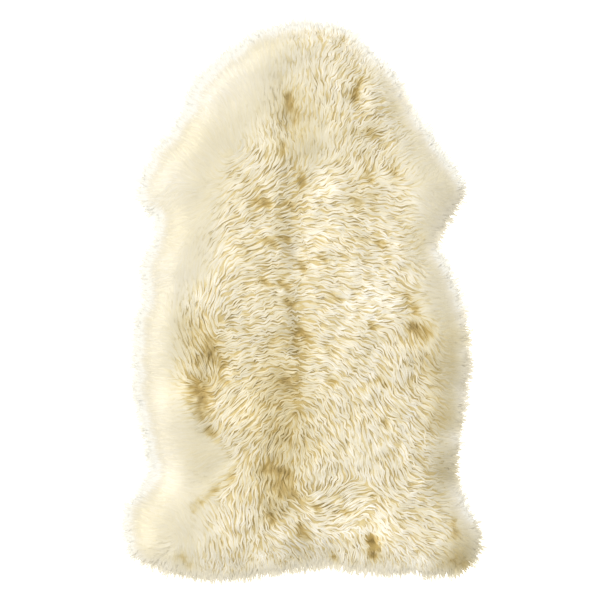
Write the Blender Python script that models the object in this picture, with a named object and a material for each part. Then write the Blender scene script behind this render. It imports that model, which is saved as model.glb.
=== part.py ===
"""A sheepskin rug lying flat on the floor, wool side up: one whole pelt, built as one solid.

Metres, +Z up. +Y runs to the neck and +X to the pelt's right as seen from above.
The origin is on the floor, under the middle of the pelt's outer box.

The underside is the flat, trimmed hide. Over it lies the fleece: a lumpy slab with mounds, hollows
and partings, and two rows of pointed wool locks that stand out round its rim and come down to the floor.
"""

import math
import random

import bmesh
import bpy
from mathutils import Vector, noise
from mathutils.geometry import delaunay_2d_cdt

MM = 0.001

# Driving sizes, in millimetres.
HIDE_INSET = 42.0  # from the tips of the rim locks in to the cut edge of the hide
FLEECE_HEIGHT = 52.0  # of the middle of the fleece over the floor, before its mounds and hollows
CROWN_REACH = 46.0  # over which the fleece rises from its shoulder to that height
TOP_SPACING = 13.5  # between the points that shape the top of the fleece
RIM_CLEARANCE = 7.5  # from the top edge of the fleece in to the first of those points
PARTING_FADE = 15.0  # over which a parting runs out towards the top edge
TUFT_SIZE = 42.0  # across one tuft of wool
TUFT_RELIEF = 16.0  # from the middle of a tuft down to the dip between tufts
TUFT_LEVEL = 0.4  # how far out from its middle, in tuft sizes, a tuft meets the height without relief
EDGE_RELIEF = 0.4  # share of the relief that is left at the top edge of the fleece

LOCK_COLUMNS = 144  # round the rim. Each column holds one lower and one upper lock
COLUMN_UNEVENNESS = 0.28  # how far a column's side may shift, in column widths
LOCK_STEPS = ((0.4, 0.88), (0.75, 0.52))  # (share of the lock's length, share of its root's size)
LOCK_REACH = (0.62, 1.08)  # the shortest and the longest, as shares of the way out to the outline
LOWER_SWAY = (-0.9, 0.1)  # of a lock's tip to the side, in half widths of its column there
UPPER_SWAY = (-0.1, 0.9)  # the other way, so that upper tips lie over the gaps between lower ones
UPPER_TIP_LIFT = 14.0  # of an upper lock's tip over the floor
NORMAL_SPAN = 3  # columns to each side over which the outward direction is evened out
CURVE_STEPS = 4000  # round the outline, to measure distances along it

WOOL_COLOUR = (0.84, 0.76, 0.58, 1.0)
WOOL_ROUGHNESS = 0.9

# Where the tips of the wool end, clockwise from the neck: place on the animal, x, y in millimetres.
OUTLINE = (
    ("neck", 6, 448),
    ("neck", 56, 440),
    ("neck corner", 93, 418),
    ("neck dent", 113, 394),
    ("right shoulder", 150, 367),
    ("right shoulder", 170, 326),
    ("right shoulder", 190, 285),
    ("right foreleg", 233, 240),
    ("right foreleg tip", 266, 186),
    ("right foreleg", 258, 150),
    ("behind right foreleg", 219, 97),
    ("right flank", 234, 60),
    ("right flank", 256, 10),
    ("right flank", 272, -72),
    ("right flank", 266, -140),
    ("right waist", 252, -230),
    ("right waist", 253, -285),
    ("right hind leg", 270, -330),
    ("right hind leg tip", 293, -366),
    ("right hind leg", 291, -408),
    ("right hind leg", 270, -434),
    ("rump", 215, -439),
    ("rump", 150, -435),
    ("rump", 85, -433),
    ("tail dent", 27, -421),
    ("rump", -33, -433),
    ("rump", -104, -444),
    ("rump", -175, -440),
    ("left hind leg", -240, -429),
    ("left hind leg", -275, -406),
    ("left hind leg tip", -290, -366),
    ("left hind leg", -283, -324),
    ("left hind leg", -256, -292),
    ("left waist", -244, -258),
    ("left flank", -258, -205),
    ("left flank", -270, -130),
    ("left flank", -266, -50),
    ("left flank", -252, 22),
    ("left flank", -254, 64),
    ("behind left foreleg", -230, 120),
    ("left foreleg", -258, 147),
    ("left foreleg tip", -267, 180),
    ("left foreleg", -252, 216),
    ("left shoulder", -214, 262),
    ("left shoulder", -190, 310),
    ("left shoulder", -178, 342),
    ("left neck", -150, 374),
    ("left neck", -108, 402),
    ("left neck", -62, 432),
)

# The rounded edge of the fleece, from the floor up: name, inset from the outline, height in millimetres.
RIM_PROFILE = (
    ("hide edge", HIDE_INSET, 0.0),
    ("fullest part", 29.0, 16.0),
    ("shoulder", 33.0, 32.0),
    ("top edge", 48.0, 43.0),
)

# Soft swellings of the fleece: name, x, y, radius, rise in millimetres.
MOUNDS = (
    ("left foreleg", -200, 190, 50, 4),
    ("left flank", -225, 10, 60, 5),
    ("left flank, low", -228, -150, 60, 6),
    ("left hind leg", -235, -360, 52, 5),
    ("left of the back", -85, 60, 65, 8),
    ("left of the loin", -75, -180, 60, 7),
    ("rump, left", -95, -365, 60, 5),
    ("right of the neck", 75, 290, 50, 5),
    ("right shoulder", 165, 190, 60, 4),
    ("right of the back", 65, 95, 70, 8),
    ("right of the loin", 85, -65, 75, 9),
    ("right flank", 215, -60, 45, 3),
    ("right rump", 110, -240, 70, 7),
    ("rump, right", 160, -380, 50, 4),
    ("right hind leg", 255, -370, 35, 4),
)

# Where the wool parts and opens towards the hide: name, one end x, y, other end x, y, half width, depth in millimetres.
PARTINGS = (
    ("neck, upper", -30, 340, -19, 282, 18, 15),
    ("neck, lower", -19, 282, -17, 205, 15, 12),
    ("right of the neck", 92, 335, 84, 302, 14, 17),
    ("neck corner", 66, 410, 50, 385, 11, 9),
    ("spine, upper", -12, 190, -5, 80, 15, 10),
    ("spine, lower", -5, 80, 2, -78, 15, 11),
    ("beside the left shoulder", -110, 120, -150, 60, 20, 8),
    ("beside the left flank", -175, 25, -163, -50, 22, 10),
    ("left hollow", -155, -55, -133, -115, 22, 15),
    ("left hollow, low", -145, -135, -150, -185, 22, 15),
    ("left haunch fold", -90, -235, -160, -290, 16, 10),
    ("loin hollow", -45, -250, -15, -290, 24, 11),
    ("rump hollow", -8, -330, 25, -375, 20, 11),
    ("rump pit", 112, -372, 116, -405, 13, 19),
    ("right flank hollow", 165, 15, 182, -45, 20, 11),
    ("right waist fold", 190, -120, 200, -250, 18, 7),
    ("left hind leg spot", -185, -392, -178, -408, 15, 10),
)


def closed_spline(points, t):
    """A point of the smooth closed curve through the points, with t from 0 to 1 round all of them."""
    count = len(points)
    place = (t % 1.0) * count
    first = int(place)
    s = place - first
    a, b, c, d = (points[(first + k) % count] for k in (-1, 0, 1, 2))
    return 0.5 * (2 * b + (c - a) * s + (2 * a - 5 * b + 4 * c - d) * s * s + (3 * b - a - 3 * c + d) * s**3)


def column_sides(points, chance):
    """The points on the smooth closed outline at which one column of locks ends and the next begins."""
    fine = [closed_spline(points, k / CURVE_STEPS) for k in range(CURVE_STEPS + 1)]
    runs = [0.0]
    for a, b in zip(fine, fine[1:]):
        runs.append(runs[-1] + (b - a).length)
    found, k = [], 0
    for i in range(LOCK_COLUMNS):
        shift = COLUMN_UNEVENNESS * chance.random()
        wanted = runs[-1] * (i + shift) / LOCK_COLUMNS
        while runs[k + 1] < wanted:
            k += 1
        found.append(fine[k].lerp(fine[k + 1], (wanted - runs[k]) / (runs[k + 1] - runs[k])))
    return found


def outward_directions(loop):
    """The outward direction at each point of a clockwise loop, evened out over its neighbours."""
    count = len(loop)
    raw = []
    for i in range(count):
        along = loop[(i + 1) % count] - loop[i - 1]
        raw.append(Vector((-along.y, along.x)).normalized())
    even = []
    for i in range(count):
        total = Vector((0.0, 0.0))
        for k in range(-NORMAL_SPAN, NORMAL_SPAN + 1):
            total += raw[(i + k) % count]
        even.append(total.normalized())
    return even


def distance_to_segment(p, a, b):
    along = b - a
    share = max(0.0, min(1.0, (p - a).dot(along) / along.length_squared))
    return (p - a - along * share).length


def edge_distance(p, loop):
    """How far a point lies from the nearest side of the loop."""
    return min(distance_to_segment(p, loop[i - 1], loop[i]) for i in range(len(loop)))


def is_inside(p, loop):
    inside = False
    for a, b in zip(loop, loop[1:] + loop[:1]):
        if (a.y > p.y) != (b.y > p.y) and p.x < a.x + (b.x - a.x) * (p.y - a.y) / (b.y - a.y):
            inside = not inside
    return inside


def top_height(p, to_edge):
    """The height of the fleece at a point that far inside its top edge, in millimetres."""
    edge_height = RIM_PROFILE[-1][2]
    crown = 1.0 - math.exp(-to_edge / CROWN_REACH)
    height = edge_height + (FLEECE_HEIGHT - edge_height) * crown
    for _, x, y, radius, rise in MOUNDS:
        height += rise * math.exp(-((p - Vector((x, y))).length / radius) ** 2)
    fade = 1.0 - math.exp(-to_edge / PARTING_FADE)
    for _, x0, y0, x1, y1, half_width, depth in PARTINGS:
        off = distance_to_segment(p, Vector((x0, y0)), Vector((x1, y1)))
        height -= depth * fade * math.exp(-((off / half_width) ** 2))
    nearest = noise.voronoi(Vector((p.x, p.y, 0.0)) / TUFT_SIZE)[0][0]
    relief = TUFT_RELIEF * (EDGE_RELIEF + (1.0 - EDGE_RELIEF) * crown)
    return height + relief * (TUFT_LEVEL - nearest)


def lattice_inside(loop):
    """Points of an even triangular lattice that lie clear inside the loop."""
    row_step = TOP_SPACING * math.sqrt(3) / 2
    low_x, high_x = min(p.x for p in loop), max(p.x for p in loop)
    low_y, high_y = min(p.y for p in loop), max(p.y for p in loop)
    found = []
    for row in range(int((high_y - low_y) / row_step) + 1):
        shift = TOP_SPACING / 2 * (row % 2)
        for column in range(int((high_x - low_x) / TOP_SPACING) + 1):
            p = Vector((low_x + shift + column * TOP_SPACING, low_y + row * row_step))
            if is_inside(p, loop) and edge_distance(p, loop) > RIM_CLEARANCE:
                found.append(p)
    return found


def ring_of(bm, loop, directions, inset, height):
    """A closed ring of vertices at that inset from the loop and that height."""
    ring = []
    for p, outward in zip(loop, directions):
        at = p - outward * inset
        ring.append(bm.verts.new((at.x, at.y, height)))
    return ring


def band_between(bm, lower, upper):
    """The faces between two rings of as many vertices, one for each column of locks."""
    count = len(lower)
    faces = []
    for i in range(count):
        k = (i + 1) % count
        faces.append(bm.faces.new((lower[i], upper[i], upper[k], lower[k])))
    return faces


def add_top(bm, ring):
    """The lumpy top of the fleece, as even triangles between the ring's vertices."""
    loop = [Vector(v.co[:2]) for v in ring]
    inner = lattice_inside(loop)
    sides = [(i, (i + 1) % len(loop)) for i in range(len(loop))]
    flat = delaunay_2d_cdt(loop + inner, sides, [], 1, 1e-4)
    points, triangles, came_from = flat[0], flat[2], flat[3]
    verts = []
    for p, origins in zip(points, came_from):
        if origins and origins[0] < len(ring):
            verts.append(ring[origins[0]])
        else:
            height = top_height(p, edge_distance(p, loop))
            verts.append(bm.verts.new((p.x, p.y, height)))
    for triangle in triangles:
        bm.faces.new([verts[i] for i in triangle])


def grow_lock(bm, face, tip, rest_on_floor, narrowing, sway):
    """Draws one rim face out to a pointed lock, in steps that narrow, droop and sway sideways.

    Narrowing is the width of the lock's column at the outline as a share of its width at the root.
    """
    root = face.calc_center_median()
    corners = [v.co - root for v in face.verts]
    grown = face
    for share, size in LOCK_STEPS:
        grown = bmesh.ops.extrude_discrete_faces(bm, faces=[grown])["faces"][0]
        centre = root.lerp(tip, share) + sway * share * share
        centre.z = root.z * size + (0.0 if rest_on_floor else tip.z * share)
        size_here = size * (1.0 + (narrowing - 1.0) * share)
        for v, corner in zip(grown.verts, corners):
            v.co = centre + Vector((corner.x * size_here, corner.y * size_here, corner.z * size))
    last = bmesh.ops.extrude_discrete_faces(bm, faces=[grown])["faces"][0]
    bmesh.ops.pointmerge(bm, verts=list(last.verts), merge_co=tip + sway)


def grow_locks(bm, faces, outline, rest_on_floor, chance):
    """One lock on each face of a rim band, out towards the outline."""
    count = len(outline)
    for i, face in enumerate(faces):
        side = outline[(i + 1) % count] - outline[i]
        root = face.calc_center_median()
        root_side = face.verts[3].co - face.verts[0].co
        narrowing = min(1.0, side.length / root_side.length)
        middle = (outline[i] + outline[(i + 1) % count]) / 2
        at = Vector(root[:2]).lerp(middle, chance.uniform(*LOCK_REACH))
        tip = Vector((at.x, at.y, 0.0 if rest_on_floor else UPPER_TIP_LIFT))
        half_column = root_side / 2 * narrowing
        sway = half_column * chance.uniform(*(LOWER_SWAY if rest_on_floor else UPPER_SWAY))
        grow_lock(bm, face, tip, rest_on_floor, narrowing, sway)


def pelt_mesh():
    """The whole pelt as one closed mesh, in metres, over the middle of its outer box."""
    chance = random.Random(7)
    outline = column_sides([Vector((x, y)) for _, x, y in OUTLINE], chance)
    directions = outward_directions(outline)
    bm = bmesh.new()
    rings = [ring_of(bm, outline, directions, inset, height) for _, inset, height in RIM_PROFILE]
    bands = [band_between(bm, lower, upper) for lower, upper in zip(rings, rings[1:])]
    bm.faces.new(rings[0])
    add_top(bm, rings[-1])
    grow_locks(bm, bands[0], outline, True, chance)
    grow_locks(bm, bands[1], outline, False, chance)
    bmesh.ops.triangulate(bm, faces=[face for face in bm.faces if len(face.verts) > 3])
    bmesh.ops.recalc_face_normals(bm, faces=bm.faces)
    low = Vector([min(v.co[k] for v in bm.verts) for k in range(3)])
    high = Vector([max(v.co[k] for v in bm.verts) for k in range(3)])
    middle = (low + high) / 2
    bmesh.ops.translate(bm, vec=(-middle.x, -middle.y, 0.0), verts=bm.verts)
    bmesh.ops.scale(bm, vec=(MM, MM, MM), verts=bm.verts)
    mesh = bpy.data.meshes.new("pelt")
    bm.to_mesh(mesh)
    bm.free()
    return mesh


def wool_material():
    material = bpy.data.materials.new("cream wool")
    material.use_nodes = True
    shader = material.node_tree.nodes["Principled BSDF"]
    shader.inputs["Base Color"].default_value = WOOL_COLOUR
    shader.inputs["Roughness"].default_value = WOOL_ROUGHNESS
    shader.inputs["Metallic"].default_value = 0.0
    return material


def clear_scene():
    for obj in list(bpy.data.objects):
        bpy.data.objects.remove(obj, do_unlink=True)


def main():
    clear_scene()
    collection = bpy.data.collections.new("sheepskin rug")
    bpy.context.scene.collection.children.link(collection)
    pelt = bpy.data.objects.new("pelt", pelt_mesh())
    pelt.data.materials.append(wool_material())
    collection.objects.link(pelt)


main()
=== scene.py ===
# A sheepskin rug that lies flat, wool up: one tanned pelt with its own cream fleece.
# Metres, +Z up, +Y towards the neck. The sections follow the pelt from the floor up: hide, underwool,
# locks, low locks, top wool, loose ends, rim wool, wisps, and then the floor, light and camera.

import math

import bmesh
import bpy
import numpy as np
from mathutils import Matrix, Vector
from mathutils.bvhtree import BVHTree
from mathutils.geometry import delaunay_2d_cdt


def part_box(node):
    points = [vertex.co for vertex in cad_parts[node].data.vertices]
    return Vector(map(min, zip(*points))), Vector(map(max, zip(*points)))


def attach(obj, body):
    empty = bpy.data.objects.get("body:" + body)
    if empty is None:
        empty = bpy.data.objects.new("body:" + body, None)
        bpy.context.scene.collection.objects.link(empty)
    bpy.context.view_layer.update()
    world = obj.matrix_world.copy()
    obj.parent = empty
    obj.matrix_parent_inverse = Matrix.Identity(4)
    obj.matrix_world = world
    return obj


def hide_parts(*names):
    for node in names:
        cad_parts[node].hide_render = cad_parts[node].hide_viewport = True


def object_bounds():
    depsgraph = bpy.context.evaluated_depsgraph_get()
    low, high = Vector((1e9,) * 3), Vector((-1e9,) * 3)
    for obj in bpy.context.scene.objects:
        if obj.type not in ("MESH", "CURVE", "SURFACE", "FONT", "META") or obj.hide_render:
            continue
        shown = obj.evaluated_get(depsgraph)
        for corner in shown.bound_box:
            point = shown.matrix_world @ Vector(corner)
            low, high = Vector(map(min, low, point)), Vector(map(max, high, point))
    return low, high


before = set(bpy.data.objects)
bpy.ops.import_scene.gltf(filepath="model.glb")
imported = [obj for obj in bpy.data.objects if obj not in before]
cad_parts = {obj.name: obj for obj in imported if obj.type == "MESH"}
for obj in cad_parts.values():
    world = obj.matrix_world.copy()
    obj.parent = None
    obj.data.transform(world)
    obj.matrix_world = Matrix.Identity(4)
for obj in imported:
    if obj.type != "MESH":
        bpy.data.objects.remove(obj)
packed_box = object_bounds()

MM = 0.001

# ---------------------------------------------------------------------------------------------
# Hide
# The tanned skin that the wool grows from: soft suede, buffed on the underside and trimmed with a
# knife to a smooth edge, well inside the ends of the wool. It lies flat on the floor.

HIDE_INSET = 36 * MM  # from the ends of the wool in to the cut edge
HIDE_THICKNESS = 2 * MM
HIDE_BEVEL = 0.6 * MM
HIDE_EDGE_STEP = 6 * MM

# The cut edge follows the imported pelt, and so does every piece below: how far each place lies inside
# the ends of the wool, and how high the fleece stands there. Both are read off the solid by looking
# straight down on it, and kept as grids.
GRID_STEP = 3 * MM
GRID_MARGIN = 60 * MM
OUTLINE_SOFTNESS = 12 * MM  # evens out the gaps between the rim locks
FLEECE_SOFTNESS = 5 * MM  # evens out the facets of the solid's top
MEAN_PASSES = 3
MEAN_SPREAD = 1.7  # how far these carry a value, as a multiple of half of one's window


def soften(grid, radius):
    """The grid with each value spread over its neighbours, as a few passes of a moving mean."""
    half = max(1, round(radius / GRID_STEP / MEAN_SPREAD))
    window = np.ones(2 * half + 1) / (2 * half + 1)
    for _ in range(MEAN_PASSES):
        grid = np.apply_along_axis(np.convolve, 0, grid, window, "same")
        grid = np.apply_along_axis(np.convolve, 1, grid, window, "same")
    return grid


def read_pelt(pelt):
    """The corner of the grids and the grids themselves: the distance inside the ends of the wool,
    which is below zero outside them, and the height of the fleece."""
    low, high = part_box(pelt.name)
    corner = np.array([low.x - GRID_MARGIN, low.y - GRID_MARGIN])
    columns = int((high.x - low.x + 2 * GRID_MARGIN) / GRID_STEP)
    rows = int((high.y - low.y + 2 * GRID_MARGIN) / GRID_STEP)
    solid = bmesh.new()
    solid.from_mesh(pelt.data)
    surface = BVHTree.FromBMesh(solid)
    solid.free()
    top = np.zeros((columns, rows))
    above = high.z + GRID_MARGIN
    for i in range(columns):
        for k in range(rows):
            start = Vector((corner[0] + i * GRID_STEP, corner[1] + k * GRID_STEP, above))
            hit = surface.ray_cast(start, Vector((0, 0, -1)))[0]
            if hit is not None:
                top[i, k] = hit.z
    covered = soften((top > 0).astype(float), OUTLINE_SOFTNESS) > 0.5
    at = np.stack(np.meshgrid(np.arange(columns), np.arange(rows), indexing="ij"), axis=-1) * GRID_STEP
    beside = np.zeros_like(covered)
    for axis in (0, 1):
        for side in (1, -1):
            beside |= np.roll(covered, side, axis) != covered
    edge = at[covered & beside]
    far = np.array([np.sqrt(((row[:, None] - edge) ** 2).sum(axis=2).min(axis=1)) for row in at])
    inside = soften(np.where(covered, far, -far), FLEECE_SOFTNESS)
    return corner, inside, soften(top, FLEECE_SOFTNESS)


grid_corner, inside_grid, fleece_grid = read_pelt(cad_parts["pelt"])


def blend(grid, cell, part):
    """The values of a grid between its points: part of the way from each cell to the next."""
    i, k = cell[..., 0], cell[..., 1]
    s, t = part[..., 0], part[..., 1]
    near = grid[i, k] * (1 - t) + grid[i, k + 1] * t
    far = grid[i + 1, k] * (1 - t) + grid[i + 1, k + 1] * t
    return near * (1 - s) + far * s


LAST_POINTS = 1.001  # keeps places just short of a grid's last points


def read_grid(grid, places):
    """The grid's values at places, which are an array that ends in x and y, or in x, y and z."""
    spot = (np.asarray(places)[..., :2] - grid_corner) / GRID_STEP
    spot = np.clip(spot, 0, np.array(grid.shape) - LAST_POINTS)
    cell = spot.astype(int)
    return blend(grid, cell, spot - cell)


def slope_of(grid, places):
    """The grid's slope at places, along x and y."""
    across = np.array([GRID_STEP, 0.0])
    along = np.array([0.0, GRID_STEP])
    places = np.asarray(places)[..., :2]
    rise_x = read_grid(grid, places + across) - read_grid(grid, places - across)
    rise_y = read_grid(grid, places + along) - read_grid(grid, places - along)
    return np.stack([rise_x, rise_y], axis=-1) / (2 * GRID_STEP)


CORRECTIONS = 4  # that bring a place onto the line
LEAST_STEPS = 5  # before the walk may close


def walk_round(distance, step):
    """Places in order round the pelt, all of them that far inside the ends of its wool."""

    def onto_line(place):
        for _ in range(CORRECTIONS):
            slope = slope_of(inside_grid, place)
            place = place + slope * (distance - read_grid(inside_grid, place)) / (slope @ slope)
        return place

    start = np.array([0.0, 0.0])
    while read_grid(inside_grid, start) > distance:
        start = start + np.array([0.0, GRID_STEP])
    walk = [onto_line(start)]
    while len(walk) < LEAST_STEPS or np.linalg.norm(walk[-1] - walk[0]) > step:
        slope = slope_of(inside_grid, walk[-1])
        forward = np.array([slope[1], -slope[0]]) / np.linalg.norm(slope)
        walk.append(onto_line(walk[-1] + forward * step))
    return np.array(walk)


def mesh_piece(name, mesh):
    """A new object that shows the mesh."""
    piece = bpy.data.objects.new(name, mesh)
    bpy.context.scene.collection.objects.link(piece)
    return piece


def smooth_mesh(made, name, sharp):
    """A smooth mesh of what was made, whose edges stay sharp past that angle."""
    mesh = bpy.data.meshes.new(name)
    made.to_mesh(mesh)
    made.free()
    mesh.shade_smooth()
    mesh.set_sharp_from_angle(angle=sharp)
    return mesh


RIM_ANGLE = 1.0  # radians, through which only the rims of a slab's top and underside turn
SLAB_SHARP = math.radians(50)  # past which its edges stay sharp


def slab(loop, low, high, bevel):
    """A flat slab of that outline between two heights, with its edges rounded by a bevel."""
    made = bmesh.new()
    verts = [made.verts.new((x, y, low)) for x, y in loop]
    underside = made.faces.new(verts)
    made.normal_update()
    if underside.normal.z > 0:
        underside.normal_flip()
    grown = bmesh.ops.extrude_face_region(made, geom=made.faces[:])["geom"]
    raised = [v for v in grown if isinstance(v, bmesh.types.BMVert)]
    bmesh.ops.translate(made, vec=(0, 0, high - low), verts=raised)
    bmesh.ops.recalc_face_normals(made, faces=made.faces)
    rims = [e for e in made.edges if e.calc_face_angle(0) > RIM_ANGLE]
    bmesh.ops.bevel(made, geom=rims, offset=bevel, segments=2, affect="EDGES", clamp_overlap=True)
    bmesh.ops.triangulate(made, faces=[f for f in made.faces if len(f.verts) > 4])
    return smooth_mesh(made, "slab", SLAB_SHARP)


def linear(hex_colour):
    """A six-digit sRGB colour as the linear one that the shaders take."""
    parts = [int(hex_colour[i:i + 2], 16) / 255 for i in (1, 3, 5)]
    return tuple(p / 12.92 if p <= 0.04045 else ((p + 0.055) / 1.055) ** 2.4 for p in parts) + (1.0,)


def new_material(name, values):
    """A new material and its shader, with the values that are the same all over it."""
    material = bpy.data.materials.new(name)
    material.use_nodes = True
    shader = material.node_tree.nodes["Principled BSDF"]
    for socket, value in values.items():
        shader.inputs[socket].default_value = value
    return material, shader


def add_node(material, kind, links=(), **settings):
    """Adds a node, sets its own settings and its sockets, and joins links of (output, its socket)."""
    node = material.node_tree.nodes.new("ShaderNode" + kind)
    sockets = settings.pop("sockets", {})
    for name, value in settings.items():
        setattr(node, name, value)
    for name, value in sockets.items():
        node.inputs[name].default_value = value
    for output, name in links:
        material.node_tree.links.new(output, node.inputs[name])
    return node


def buffed_suede():
    """Tanned skin with a buffed nap: matt, warm and a little blotched, with no gloss at any angle."""
    suede, shader = new_material("buffed suede", {
        "IOR": 1.5,
        "Specular IOR Level": 0.2,
        "Sheen Weight": 0.3,
        "Sheen Roughness": 0.5,
    })
    place = add_node(suede, "TexCoord")
    blotch = add_node(suede, "TexNoise", [(place.outputs["Object"], "Vector")],
                      sockets={"Scale": 1 / (40 * MM), "Detail": 5, "Roughness": 0.6})
    tone = add_node(suede, "ValToRGB", [(blotch.outputs["Fac"], "Fac")])
    tone.color_ramp.elements[0].position = 0.3
    tone.color_ramp.elements[0].color = linear("#c9b38f")
    tone.color_ramp.elements[1].position = 0.7
    tone.color_ramp.elements[1].color = linear("#e3d2b1")
    nap = add_node(suede, "TexNoise", [(place.outputs["Object"], "Vector")],
                   sockets={"Scale": 1 / (0.8 * MM), "Detail": 3, "Roughness": 0.7})
    rough = add_node(suede, "MapRange", [(nap.outputs["Fac"], "Value")],
                     sockets={"To Min": 0.8, "To Max": 0.95})
    relief = add_node(suede, "Bump", [(nap.outputs["Fac"], "Height")],
                      sockets={"Strength": 0.5, "Distance": 0.3 * MM})
    suede.node_tree.links.new(tone.outputs["Color"], shader.inputs["Base Color"])
    suede.node_tree.links.new(rough.outputs["Result"], shader.inputs["Roughness"])
    suede.node_tree.links.new(relief.outputs["Normal"], shader.inputs["Normal"])
    return suede


hide_edge = walk_round(HIDE_INSET, HIDE_EDGE_STEP)
hide = mesh_piece("hide", slab(hide_edge, 0.0, HIDE_THICKNESS, HIDE_BEVEL))
hide.data.materials.append(buffed_suede())
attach(hide, "root")

# ---------------------------------------------------------------------------------------------
# Underwool
# The dense, matted lower part of the fleece, which shows golden between the locks. It is built as
# one lumpy body on the hide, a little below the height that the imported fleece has.

UNDERWOOL_INSET = 7 * MM  # from the ends of the wool in to its foot
UNDERWOOL_DROP = (0.5 * MM, 2.7 * MM)  # from the fleece's height down to it, in smooth and in crisp wool
UNDERWOOL_ROUND = 7 * MM  # over which its shoulder rounds off
UNDERWOOL_FLOOR = HIDE_THICKNESS + 0.3 * MM
UNDERWOOL_LEAST = 3 * MM  # of its own height, inside the shoulder
UNDERWOOL_STEP = 5.5 * MM
UNDERWOOL_MARGIN = 0.6 * UNDERWOOL_STEP  # between its outline and the net inside it
UNDERWOOL_SHARP = math.radians(70)  # keeps the edge of its foot sharp
LUMP_SIZE = 9 * MM
LUMP_HEIGHT = 1.0 * MM
RIM_DROOP = 0.8  # of its height, which the fleece loses at the ends of the wool
RIM_DROOP_START = -5 * MM
RIM_DROOP_REACH = 58 * MM
LEAST_FLEECE = 2 * MM

# How light and how golden wool is, in shares of the range that its materials have.
UNDERWOOL_SHADE = 0.3  # in crisp wool; darker than the locks, partly as painted shade of the depth between them
UNDERWOOL_GOLD = 0.5  # in crisp wool: partly its own felt near the skin, partly painted shade
UNDERWOOL_SOFT_SHADE = 0.1  # by which it is darker in smooth wool
PLAIN_GOLD = 0.15  # of all wool but the thinnest, at the rim
SOFT_GOLD = 0.12  # by which smooth wool is more golden
RIM_FADE = 22 * MM  # over which the wool grows thin and light towards its ends
RIM_PAINTED_LIGHT = 0.28  # by which it is lighter there: partly its paler thin ends, partly painted light
# Painted shade: on the side turned from the key light, the rim is made darker and more golden.
SHADED_RIM_SIDE = (0.45, -0.9)  # the way to the rump and its right, turned from the key light, where the rim gets painted shade
SHADED_RIM_FADE = 24 * MM
SHADED_RIM_PAINTED_SHADE = 0.42
SHADED_RIM_PAINTED_GOLD = 0.2

# Where the wool is crisp and curly: y, and how far that reaches to the left and to the right there, in
# millimetres. Outside these lines it is soft and smooth.
CRISP_WOOL = (
    (450, -10, 90),
    (400, -30, 110),
    (330, -45, 140),
    (270, -68, 160),
    (205, -112, 170),
    (110, -135, 180),
    (50, -135, 185),
    (0, -185, 190),
    (-110, -198, 216),
    (-170, -172, 216),
    (-220, -130, 220),
    (-250, -110, 220),
    (-300, -140, 225),
    (-370, -150, 238),
    (-440, -170, 230),
)
CRISP_FADE = 75 * MM
CRISP_INSET = 10 * MM  # inside the ends of the wool, over which it turns soft all round
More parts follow.
